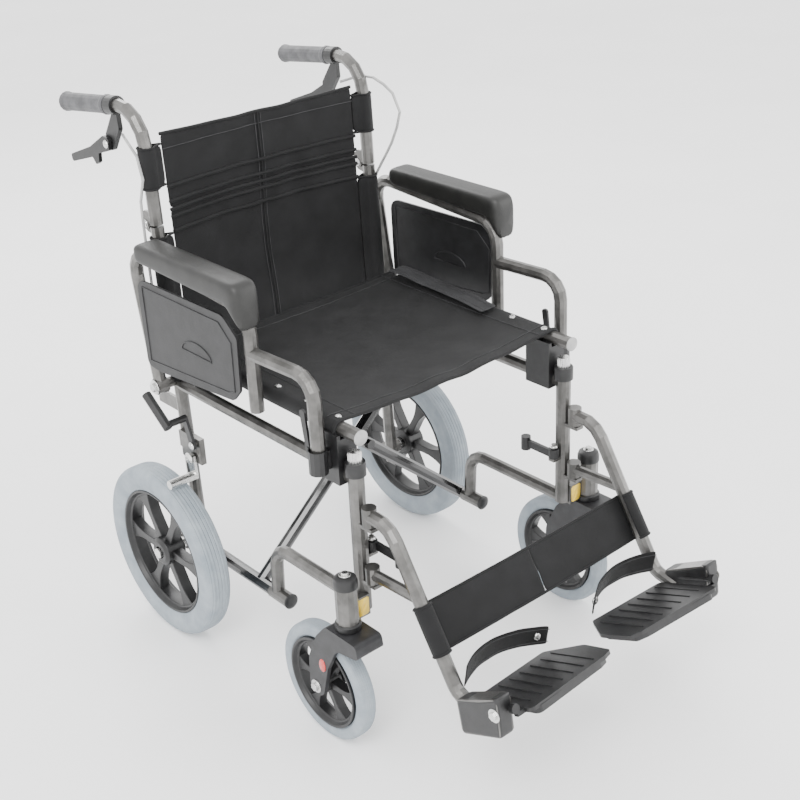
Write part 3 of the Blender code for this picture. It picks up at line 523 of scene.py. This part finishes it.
def calf_half(word, side):
    """Half of the calf strap: a band round the legrest tube that meets the other half in the middle."""
    low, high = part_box("calf_strap")
    tube_x = abs(joint_place("hanger_swing_left").x)
    root = joint_place("hanger_swing_left").y
    top = Vector((0, root - 0.1090, high.z - 0.002))
    bottom = Vector((0, root - 0.1482, low.z + 0.004))
    down = (bottom - top).normalized()
    out = Vector((0, down.z, -down.y))
    rows = []
    for row in range(11):
        start = top.lerp(bottom, row / 10)
        points = []
        for x, lift in arc((tube_x, 0.0), SLEEVE + 0.0006, 150, -90, 12):
            points.append((x, lift))
        for step in range(1, 19):
            x = tube_x * (1 - step / 18)
            points.append((x, -SLEEVE + 0.0085 * (1 - (x / tube_x) ** 2)))
        rows.append(
            [
                Vector((side * x, start.y, start.z))
                + out * (lift + waves(x, 0.2, start.z * 1.6, 34) * 0.0018 * max(0, 1 - x / tube_x))
                for x, lift in points
            ]
        )
    cloth = sheet(f"calf_strap_{word}", rows, FINISH["nylon"], 0.0024)
    if side > 0:
        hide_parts("calf_strap")
    seams = [cloth]
    for label, column in (("outer", 15), ("inner", 22)):
        stitches = [row[column] - out * 0.0016 for row in rows]
        seams.append(pipe(f"calf_seam_{label}_{word}", stitches, 0.0008, THREAD, None, 8))
    for label, row in (("top", 0), ("bottom", -1)):
        seams.append(pipe(f"calf_hem_{label}_{word}", rows[row], 0.0022, FINISH["nylon"], None, 8))
    for item in seams:
        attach(item, f"hanger_{word}")
        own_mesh(item)


def heel_band(word, side):
    """A webbing loop behind the heel, bowed and leaning a little forward at its top."""
    low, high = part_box(f"heel_loop_{word}")
    far_x = max(abs(low.x), abs(high.x))
    near_x = min(abs(low.x), abs(high.x))
    rows = []
    for row in range(7):
        level = row / 6
        z = low.z + (high.z - low.z) * level
        points = []
        for step in range(25):
            along = step / 24
            x = far_x + 0.008 + (near_x - far_x - 0.008) * along
            bow = high.y - 0.115 * (along - 0.45) ** 2 - 0.006 * level
            points.append(Vector((side * x, bow + waves(x, z, 0.7, 30) * 0.0012, z - 0.006 * along * level)))
        rows.append(points)
    cloth = sheet(f"heel_band_{word}", rows, WEBBING, 0.0022)
    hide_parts(f"heel_loop_{word}")
    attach(cloth, f"footplate_{word}")
    for label, row in (("low", 1), ("high", -2)):
        line = [point + Vector((0, -0.0014, 0)) for point in rows[row]]
        pipe(f"heel_stitch_{label}_{word}", line, 0.0006, THREAD, f"footplate_{word}", 8)
    bolt = aimed(rows[3][22] + Vector((0, -0.0012, 0)), (0, -1, 0.1))
    stud(f"heel_bolt_{word}", bolt, 0.006, f"footplate_{word}")


def lap_strap():
    """The belt, lying along the left of the seat with its rear end rising to the frame."""
    low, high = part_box("lap_belt")
    rows = []
    for row in range(40):
        along = row / 39
        y = low.y + (high.y - low.y) * along
        centre = low.x + 0.024 + 0.012 * math.sin(along * 3.0)
        lift = high.z + 0.0012 + 0.0035 * max(0.0, math.sin(along * 9.0)) * along + 0.010 * along**3
        across = (-1, -0.5, 0, 0.5, 1)
        rows.append([Vector((centre + 0.019 * step, y, lift + 0.0010 * step**2)) for step in across])
    cloth = sheet("lap_strap", rows, BELT_WEB, 0.0016)
    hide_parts("lap_belt")
    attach(cloth, "cross_a")
    for label, column in (("inner", 1), ("outer", 3)):
        line = [row[column] + Vector((0, 0, 0.0010)) for row in rows]
        pipe(f"lap_stitch_{label}", line, 0.0005, THREAD, "cross_a", 8)


# Wheels


def tyre_outline(outer, inner, half):
    """A tyre section with a ribbed crown and rounded shoulders."""
    points = []
    for index in range(33):
        reach = 1 - index / 16
        drop = (outer - inner) * 0.30 * abs(reach) ** 5
        rib = 0.0009 if index % 4 == 2 and abs(reach) < 0.8 else 0.0
        points.append((outer - drop - rib, half * (reach * 0.92 if abs(reach) > 0.95 else reach)))
    depth = outer - inner
    wall = [(inner + depth * 0.45, half), (inner + depth * 0.12, half * 0.86), (inner, half * 0.72)]
    return points + [(radius, -height) for radius, height in wall] + wall[::-1]


def fine_tyre(node, finish):
    """The ribbed tyre that stands for a plain CAD one."""
    low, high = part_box(node)
    centre = (low + high) / 2
    inner = radius_of_rim(node)
    bm = bmesh.new()
    lathe(bm, tyre_outline((high.z - low.z) / 2, inner, (high.x - low.x) / 2), aimed(centre, (1, 0, 0)), 120)
    made = piece(f"{node}_fine", bm, finish, body_of(node))
    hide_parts(node)


def radius_of_rim(tyre_node):
    """The tyre's seat: its rim's radius with a small gap."""
    low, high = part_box(tyre_node.replace("tyre", "rim"))
    return (high.z - low.z) / 2 + 0.0004


def fine_rim(node, hub_radius, spoke_width):
    """A moulded rim: a lipped ring, a stepped hub and six spokes that flare into the ring."""
    low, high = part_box(node)
    centre = (low + high) / 2
    outer = (high.z - low.z) / 2
    half = (high.x - low.x) / 2
    place = aimed(centre, (1, 0, 0))
    ring_half = half * 0.92
    ring = [(outer, ring_half), (outer, -ring_half), (outer - 0.004, -ring_half)]
    ring += [(outer - 0.008, -ring_half * 0.6), (outer - 0.011, -ring_half * 0.55)]
    ring += [(outer - 0.011, ring_half * 0.55), (outer - 0.008, ring_half * 0.6), (outer - 0.004, ring_half)]
    hub = [(hub_radius * 0.42, half), (hub_radius * 0.42, -half), (hub_radius * 0.72, -half)]
    hub += [(hub_radius, -half * 0.8), (hub_radius, half * 0.8), (hub_radius * 0.72, half)]
    bm = bmesh.new()
    lathe(bm, ring, place, 96)
    lathe(bm, hub, place, 48)
    for spoke in range(6):
        turn = place @ Matrix.Rotation(math.pi * spoke / 3, 4, "Z")
        add_spoke(bm, turn, hub_radius * 0.9, outer - 0.0105, spoke_width, half * 0.46)
    made = piece(f"{node}_fine", bm, FINISH[slot_of(node)], body_of(node), math.radians(30))
    modify(made, "BEVEL", width=0.0010, segments=2, limit_method="ANGLE")
    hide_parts(node)


def add_spoke(bm, place, start, end, width, half):
    """One spoke along +X of place, waisted in the middle and flared into the ring."""
    sections = []
    for step in range(11):
        along = step / 10
        reach = start + (end - start) * along
        flare = width * (0.5 + 0.15 * (1 - along) ** 2 + 0.95 * max(0.0, along - 0.45) ** 2 * 3.2)
        corners = [(flare, half), (flare, -half), (-flare, -half), (-flare, half)]
        sections.append([bm.verts.new(place @ Vector((reach, y, z))) for y, z in corners])
    skin(bm, sections)


def hex_bolt(name, place, radius, height, body, finish=None):
    """A hexagon head with a turned washer under it."""
    bm = bmesh.new()
    washer = [(0.0005, 0.0), (radius * 1.5, 0.0), (radius * 1.5, height * 0.3), (0.0005, height * 0.3)]
    lathe(bm, washer, place, 36)
    lift = place @ Matrix.Translation((0, 0, height * 0.65))
    bmesh.ops.create_cone(
        bm, cap_ends=True, segments=6, radius1=radius, radius2=radius * 0.97, depth=height * 0.75, matrix=lift
    )
    made = piece(name, bm, finish or FINISH["steel"], body, math.radians(25))
    modify(made, "BEVEL", width=0.0005, segments=2, limit_method="ANGLE")
    return made


def wheels():
    """Tyres, rims and the bolts at the castor forks' feet."""
    for word, side in SIDES.items():
        fine_tyre(f"rear_tyre_{word}", FINISH["tyre"])
        fine_tyre(f"castor_tyre_{word}", FINISH["tyre"])
        fine_rim(f"rear_rim_{word}", 0.026, 0.013)
        fine_rim(f"castor_rim_{word}", 0.016, 0.010)
        axle = joint_place(f"castor_roll_{word}")
        low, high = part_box(f"castor_fork_{word}")
        outer, inner = (high.x, low.x) if side > 0 else (low.x, high.x)
        for label, x, way in (("outer", outer, side), ("inner", inner, -side)):
            place = aimed((x - way * 0.0042, axle.y, axle.z), (way, 0, 0))
            hex_bolt(f"castor_bolt_{label}_{word}", place, 0.0075, 0.006, f"castor_fork_{word}")


# Padding and fittings


def arm_pad(word):
    """The moulded pad: a long rounded body that droops at its front end."""
    low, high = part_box(f"arm_pad_{word}")
    length = high.y - low.y
    half = (high.x - low.x) / 2
    centre_x = (low.x + high.x) / 2
    bm = bmesh.new()
    rings = []
    for step in range(33):
        along = step / 32
        y = low.y + 0.001 + (length - 0.002) * along
        bottom = low.z + (0.043 if along > 0.14 else 0.043 * math.sin(math.pi / 2 * along / 0.14))
        bottom += 0.008 * max(0.0, along - 0.25)
        end = min(1.0, along / 0.07, (1 - along) / 0.045)
        round_off = math.sqrt(max(0.0, 1 - (1 - end) ** 2))
        top = high.z - 0.013 * (1 - round_off)
        bottom += 0.012 * (1 - round_off) * (along > 0.5)
        wide = half * (0.72 + 0.28 * round_off)
        rings.append(pad_ring(bm, centre_x, y, wide, bottom, top))
    skin(bm, rings)
    made = piece(f"arm_pad_{word}_fine", bm, FINISH["pad"], f"arm_{word}", math.radians(60))
    modify(made, "SUBSURF", levels=1, render_levels=1)
    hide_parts(f"arm_pad_{word}")


def pad_ring(bm, x, y, half, bottom, top):
    """One rounded-square section of a pad."""
    ring = []
    mid = (bottom + top) / 2
    tall = (top - bottom) / 2
    for index in range(20):
        angle = 2 * math.pi * (index + 0.5) / 20
        across = math.copysign(abs(math.cos(angle)) ** 0.45, math.cos(angle))
        rise = math.copysign(abs(math.sin(angle)) ** 0.45, math.sin(angle))
        ring.append(bm.verts.new((x + half * across, y, mid + tall * rise)))
    return ring


def plug(word):
    """The dark collar and splined silver plug on top of a front post."""
    x = joint_place(f"hanger_swing_{word}").x
    y = joint_place(f"hanger_release_{word}").y
    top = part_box(f"front_post_{word}")[1].z
    bm = bmesh.new()
    collar = [(0.0020, top + 0.002), (0.0150, top + 0.002), (0.0158, top), (0.0158, top - 0.020)]
    collar += [(0.0127, top - 0.021), (0.0127, top + 0.0005), (0.0020, top + 0.0005)]
    lathe(bm, collar, Matrix.Translation((x, y, 0)), 48)
    piece(f"post_collar_{word}", bm, FINISH["black"], f"frame_{word}")
    bm = bmesh.new()
    rings = []
    for height, radius in ((0.0, 0.0105), (0.0145, 0.0105), (0.0175, 0.0090), (0.0185, 0.0050)):
        ring = []
        for index in range(64):
            angle = 2 * math.pi * index / 64
            reach = radius - (0.0012 if index % 4 < 2 and height < 0.016 else 0.0)
            spot = (x + reach * math.cos(angle), y + reach * math.sin(angle), top + 0.001 + height)
            ring.append(bm.verts.new(spot))
        rings.append(ring)
    skin(bm, rings)
    piece(f"post_plug_{word}", bm, FINISH["steel"], f"frame_{word}", math.radians(30))


def castor_cap(word):
    """The cap and nut over the castor stem's bearings, and the seal ring below them."""
    stem = joint_place(f"castor_swivel_{word}")
    top = HOUSING_TOP_Z
    foot = HOUSING_FOOT_Z
    inner = HOUSING_RADIUS
    column = Matrix.Translation((stem.x, stem.y, 0))
    bm = bmesh.new()
    cap = [(0.0005, top + 0.010), (0.010, top + 0.010), (0.0165, top + 0.006), (0.0186, top)]
    cap += [(0.0186, top - 0.010), (inner, top - 0.010), (inner, top - 0.001), (0.0005, top - 0.001)]
    lathe(bm, cap, column, 48)
    piece(f"castor_cap_{word}", bm, FINISH["black"], f"frame_{word}")
    nut = aimed((stem.x, stem.y, top + 0.0095), (0, 0, 1))
    hex_bolt(f"castor_nut_{word}", nut, 0.006, 0.005, f"frame_{word}")
    bm = bmesh.new()
    ring = [(0.0205, foot), (0.0205, foot + 0.008), (inner, foot + 0.010), (inner, foot)]
    lathe(bm, ring, column, 48)
    piece(f"castor_seal_{word}", bm, FINISH["black"], f"frame_{word}")


def reflector(word, side):
    """A red oval lens on the outer leg of the castor fork."""
    low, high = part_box(f"castor_fork_{word}")
    axle = joint_place(f"castor_roll_{word}")
    outer = high.x if side > 0 else low.x
    bm = bmesh.new()
    place = aimed((outer - side * 0.0038, axle.y - 0.020, axle.z + 0.050), (side, 0, 0))
    place = place @ Matrix.Diagonal((0.85, 1.35, 1, 1))
    lens = [(0.0003, 0.0022), (0.005, 0.0020), (0.008, 0.0012), (0.0088, 0.0)]
    lens += [(0.0088, -0.003), (0.0003, -0.003)]
    lathe(bm, lens, place, 40)
    piece(f"reflector_{word}", bm, REFLECTOR, f"castor_fork_{word}")


def tube_cap(name, point, direction, radius, body, finish):
    """A round plastic end cap with a small lip."""
    bm = bmesh.new()
    outline = [(0.0003, 0.0035), (radius * 0.55, 0.0032), (radius * 0.95, 0.0015), (radius * 1.06, 0.0002)]
    lathe(bm, outline + [(radius * 1.06, -0.002), (0.0003, -0.002)], aimed(point, direction), 40)
    return piece(name, bm, finish, body)


def label_band(name, point, direction, radius, length, finish, body):
    """A plain sticker wrapped part of the way round a tube."""
    place = aimed(point, direction)
    rows = []
    for row in range(5):
        height = length * (row / 4 - 0.5)
        ring = arc((0.0, 0.0), radius, 150, 330, 16)
        rows.append([place @ Vector((x, y, height)) for x, y in ring])
    bm = bmesh.new()
    grid(bm, rows)
    made = piece(name, bm, finish, body)
    modify(made, "SOLIDIFY", thickness=0.0003, offset=0)


def label_patch(name, centre, half_wide, half_tall, finish, body):
    """A plain sticker on a flat face that looks forward."""
    bm = bmesh.new()
    signs = ((-1, -1), (1, -1), (1, 1), (-1, 1))
    corners = [Vector(centre) + Vector((x * half_wide, 0, z * half_tall)) for x, z in signs]
    face = bm.faces.new([bm.verts.new(corner) for corner in corners])
    bmesh.ops.bevel(bm, geom=face.verts[:], offset=0.002, segments=4, affect="VERTICES")
    made = piece(name, bm, finish, body)
    modify(made, "SOLIDIFY", thickness=0.0006, offset=0)


def hanger_foot(word, side):
    """The black shell and bolt on the hanger's foot, where the footplate hinges."""
    root = joint_place(f"hanger_swing_{word}").y
    inner, outer = 0.2175, 0.2455
    profile = [(-0.1995, 0.1995), (-0.2110, 0.1445), (-0.2885, 0.1805), (-0.2805, 0.2455), (-0.2450, 0.2230)]
    bm = bmesh.new()
    skin(bm, [[bm.verts.new((side * x, root + y, z)) for y, z in profile] for x in (inner, outer)])
    made = piece(f"hanger_foot_{word}", bm, FINISH["black"], f"hanger_{word}", math.radians(30))
    modify(made, "BEVEL", width=0.0045, segments=3, limit_method="ANGLE")
    bolt = aimed((side * (outer - 0.0003), root - 0.2760, 0.2150), (side, 0, 0))
    hex_bolt(f"hanger_foot_bolt_{word}", bolt, 0.007, 0.005, f"hanger_{word}")


def guard_relief(word, side):
    """A raised border and a plain half-oval moulded into both faces of the skirt guard."""
    low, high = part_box(f"skirt_guard_{word}")
    inset = 0.014
    outer, inner = (high.x, low.x) if side > 0 else (low.x, high.x)
    border = [
        (low.y + inset + 0.004, low.z + 0.036),
        (low.y + inset + 0.020, low.z + 0.030),
        (high.y - inset, low.z + 0.014),
        (high.y - inset, high.z - inset),
        (low.y + 0.045, high.z - inset),
        (low.y + inset + 0.002, high.z - 0.040),
    ]
    centre_y = (low.y + high.y) / 2 - 0.02
    centre_z = (low.z + high.z) / 2 - 0.012
    turns = [math.pi * step / 16 for step in range(17)]
    oval = [(centre_y + 0.040 * math.cos(turn), centre_z + 0.020 * math.sin(turn)) for turn in turns]
    for label, plane in (("outer", outer + side * 0.0002), ("inner", inner - side * 0.0002)):
        for kind, outline, radius in (("border", border, 0.0012), ("oval", oval, 0.0014)):
            points = [(plane, y, z) for y, z in outline]
            name = f"guard_{kind}_{label}_{word}"
            pipe(name, points, radius, FINISH["guard"], f"arm_{word}", 8, True)


def plate_ribs(word, side):
    """Grip ridges across the footplate's top."""
    hinge = joint_place(f"footplate_flip_{word}")
    joint = next(joint for joint in frame["joints"] if joint["name"] == f"footplate_flip_{word}")
    along = Vector(joint["axis"]) * side
    inboard = Vector((-side, 0, 0))
    up = Vector((0, -along.z, along.y))
    for index in range(7):
        base = hinge + inboard * (0.034 + 0.022 * index) + up * -0.0049
        ends = [base + along * 0.004, base + along * 0.094]
        pipe(f"plate_rib_{index}_{word}", ends, 0.0013, FINISH["black"], f"footplate_{word}", 8)


def frame_caps(word, side):
    """End caps on the seat rail and the front foot, and the yellow sticker by the castor housing."""
    low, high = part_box(f"seat_rail_{word}")
    rail = (low + high) / 2
    body = "cross_a" if side > 0 else "cross_b"
    front = (rail.x, low.y, rail.z)
    rear = (rail.x, high.y, rail.z)
    tube_cap(f"seat_rail_cap_{word}", front, (0, -1, 0), TUBE_RADIUS, body, FINISH["cable"])
    tube_cap(f"seat_rail_rear_cap_{word}", rear, (0, 1, 0), TUBE_RADIUS, body, FINISH["black"])
    fold = joint_place("fold")
    foot = (joint_place(f"hanger_swing_{word}").x, fold.y - 0.084, fold.z)
    tube_cap(f"foot_cap_{word}", foot, (0, -1, 0), 0.0125, f"frame_{word}", FINISH["black"])
    web = (side * 0.2375, joint_place(f"castor_swivel_{word}").y - 0.0002, 0.2500)
    label_patch(f"yellow_label_{word}", web, 0.011, 0.015, LABEL_YELLOW, f"frame_{word}")


def pivot_heads(word, side):
    """Screw heads on the outer ends of the pivot pins."""

    def outward(joint, end):
        pivot = joint_place(f"{joint}_{word}")
        return aimed((side * end, pivot.y, pivot.z), (side, 0, 0))

    body = f"frame_{word}"
    hex_bolt(f"arm_pivot_nut_{word}", outward("arm_flip", PIN_END["arm"]), 0.0085, 0.006, body)
    stud(f"shoe_disc_{word}", outward("shoe_press", PIN_END["parking"]), 0.009, body)
    stud(f"lever_stud_{word}", outward("parking_pull", PIN_END["parking"]), 0.006, body)
    stud(f"brake_stud_{word}", outward("brake_squeeze", PIN_END["brake"]), 0.006, f"back_{word}")
    hinge = joint_place(f"back_fold_{word}")
    for label, way in (("in", -1), ("out", 1)):
        place = aimed((hinge.x + way * 0.0076, hinge.y, hinge.z), (way, 0, 0))
        stud(f"hinge_stud_{label}_{word}", place, 0.006, f"back_{word}")
    release = joint_place(f"hanger_release_{word}")
    top = aimed((release.x, release.y, LATCH_TOP_Z), (0, 0, 1))
    stud(f"latch_stud_{word}", top, 0.006, f"hanger_latch_{word}")


def fittings():
    """Pads, caps, plugs, lenses, stickers and screw heads on both sides."""
    for word, side in SIDES.items():
        arm_pad(word)
        plug(word)
        castor_cap(word)
        reflector(word, side)
        guard_relief(word, side)
        plate_ribs(word, side)
        frame_caps(word, side)
        hanger_foot(word, side)
        pivot_heads(word, side)
    slope = Vector((-1, 0, BRACE_SLOPE)).normalized()
    place = Vector((-0.110, joint_place("frame_spread").y, BRACE_FOOT_Z + 0.332 * BRACE_SLOPE))
    label_band("white_label", place, slope, 0.0113, 0.060, LABEL_WHITE, "cross_b")


# Floor, light and camera


def stage():
    """A pale, plain floor."""
    made, tree, shader = new_material("pale_floor")
    place = coordinates(tree)
    tone = ramp(tree, noise_value(tree, place, 2.0), (0.94, 0.94, 0.94), (0.97, 0.97, 0.97))
    tree.links.new(tone, shader.inputs["Base Color"])
    shader.inputs["Roughness"].default_value = 0.9
    bm = bmesh.new()
    bmesh.ops.create_grid(bm, x_segments=2, y_segments=2, size=14.0)
    mesh = bpy.data.meshes.new("floor")
    bm.to_mesh(mesh)
    bm.free()
    mesh.materials.append(made)
    floor = bpy.data.objects.new("floor", mesh)
    bpy.context.scene.collection.objects.link(floor)


def area_light(name, place, target, size, power):
    """A square lamp aimed at a target."""
    data = bpy.data.lights.new(name, "AREA")
    data.size = size
    data.energy = power
    made = bpy.data.objects.new(name, data)
    bpy.context.scene.collection.objects.link(made)
    made.location = place
    made.rotation_mode = "QUATERNION"
    made.rotation_quaternion = (Vector(target) - Vector(place)).to_track_quat("-Z", "Y")


def lights():
    """An even white surround with three soft lamps."""
    world = bpy.data.worlds.new("studio")
    bpy.context.scene.world = world
    world.use_nodes = True
    world.node_tree.nodes["Background"].inputs["Color"].default_value = (1, 1, 1, 1)
    world.node_tree.nodes["Background"].inputs["Strength"].default_value = 2.4
    area_light("key", (-2.2, -1.6, 3.0), (0, 0, 0.4), 1.6, 95)
    area_light("fill", (2.4, -2.4, 1.6), (0, 0, 0.4), 1.8, 40)
    area_light("rim", (0.8, 2.6, 2.4), (0, 0, 0.6), 1.4, 45)


def camera():
    """A lens of about 61 mm, to the chair's right front and above it, with a slight roll."""
    azimuth = math.radians(-40.34)
    elevation = math.radians(26.35)
    roll = math.radians(-2.72)
    level = math.cos(elevation)
    back = Vector((math.sin(azimuth) * level, -math.cos(azimuth) * level, math.sin(elevation)))
    data = bpy.data.cameras.new("camera")
    data.lens = 61.2
    data.sensor_width = 36.0
    made = bpy.data.objects.new("camera", data)
    bpy.context.scene.collection.objects.link(made)
    turn = (-back).to_track_quat("-Z", "Y").to_matrix() @ Matrix.Rotation(roll, 3, "Z")
    made.matrix_world = Matrix.Translation((-1.282, -1.5417, 1.434)) @ turn.to_4x4()
    bpy.context.scene.camera = made


stage()
lights()
camera()
seat_cloth()
back_cloth()
lap_strap()
for side_word, side_sign in SIDES.items():
    calf_half(side_word, side_sign)
    heel_band(side_word, side_sign)
wheels()
fittings()
